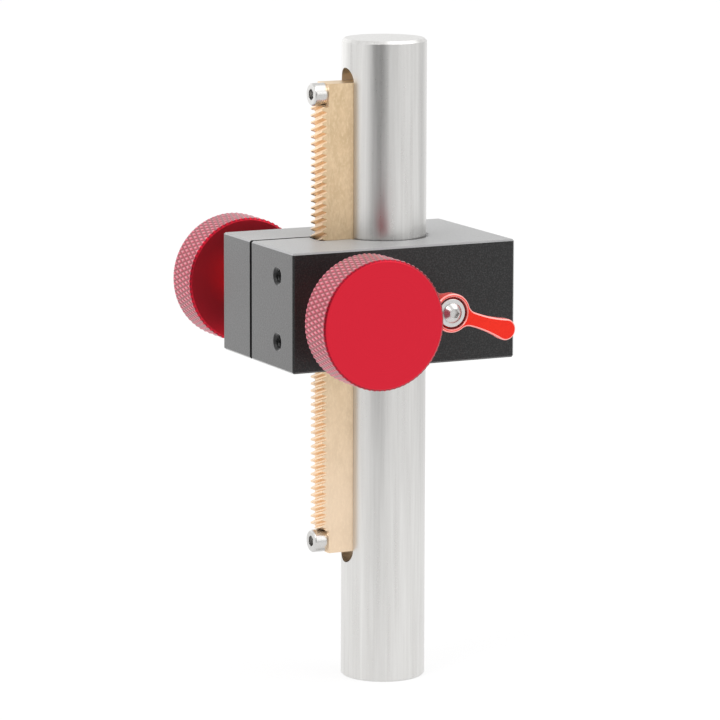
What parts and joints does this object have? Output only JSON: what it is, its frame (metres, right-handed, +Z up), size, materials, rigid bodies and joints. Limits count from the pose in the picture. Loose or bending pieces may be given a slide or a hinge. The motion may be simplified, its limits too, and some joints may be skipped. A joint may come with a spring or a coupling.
{
  "type": "vertical lifting slide table",
  "caption": "Rack-and-pinion lifting carriage on a round steel post, with two red knurled knobs on a cross shaft, a brass helical rack and a red locking lever.",
  "frame": {"origin": "centre of the post's lower end face, at the mouth of its thread", "axes": "+Z up along the post; -X is the rack's side; -Y is the side of the locking lever; X runs along the long side of the block"},
  "size_m": [0.0755, 0.1068, 0.1905],
  "materials": {
    "post_steel": "satin ground along its length",
    "rack_brass": "milled, slightly dull",
    "screw_steel": "bright turned",
    "black_anodised": "fine matte black anodised, bright bevels",
    "bush_bronze": "turned bearing bronze",
    "shaft_steel": "ground",
    "washer_steel": "turned",
    "red_anodised": "satin red anodised",
    "dark_steel": "black oxide",
    "spring_steel": "drawn wire",
    "red_enamel": "satin red enamel, worn pale at the edges"
  },
  "bodies": {
    "post": {"post": "post_steel", "rack": "rack_brass", "rack_screw_upper": "screw_steel", "rack_screw_lower": "screw_steel"},
    "carriage": {"carriage_block": "black_anodised", "front_bush": "bush_bronze", "rear_bush": "bush_bronze", "pinch_screw_upper": "screw_steel", "pinch_screw_lower": "screw_steel"},
    "pinion": {"pinion_shaft": "shaft_steel", "front_washer": "washer_steel", "rear_washer": "washer_steel", "front_knob": "red_anodised", "rear_knob": "red_anodised", "front_set_screw": "dark_steel", "rear_set_screw": "dark_steel"},
    "lock_pad": {"lock_pad": "bush_bronze"},
    "lock_screw": {"lock_stud": "dark_steel", "lock_washer": "washer_steel", "lock_cap_screw": "screw_steel", "lock_spring": "spring_steel"},
    "lock_lever": {"lock_lever": "red_enamel"}
  },
  "joints": [
    {"name": "carriage_slide", "type": "slide", "parent": "post", "child": "carriage", "axis": [0, 0, 1], "range_m": [-0.0515, 0.039]},
    {"name": "pinion_turn", "type": "hinge", "parent": "carriage", "child": "pinion", "pos_m": [-0.02579, 0, 0.11485], "axis": [0, 1, 0], "range_deg": [-690, 525]},
    {"name": "lock_advance", "type": "slide", "parent": "carriage", "child": "lock_pad", "axis": [0, 1, 0], "range_m": [-0.000244, 0.000133]},
    {"name": "lock_turn", "type": "hinge", "parent": "lock_pad", "child": "lock_screw", "pos_m": [0, 0, 0.11545], "axis": [0, 1, 0], "range_deg": [-110, 60]},
    {"name": "lock_lift", "type": "slide", "parent": "lock_screw", "child": "lock_lever", "axis": [0, -1, 0], "range_m": [0, 0.002], "stiffness_N_per_m": 600, "springref_m": -0.005, "deforming": ["lock_spring"]}
  ],
  "couplings": [
    {"joint": "pinion_turn", "follows": "carriage_slide", "rad_per_m": 231.1},
    {"joint": "lock_turn", "follows": "lock_advance", "rad_per_m": 7854}
  ]
}
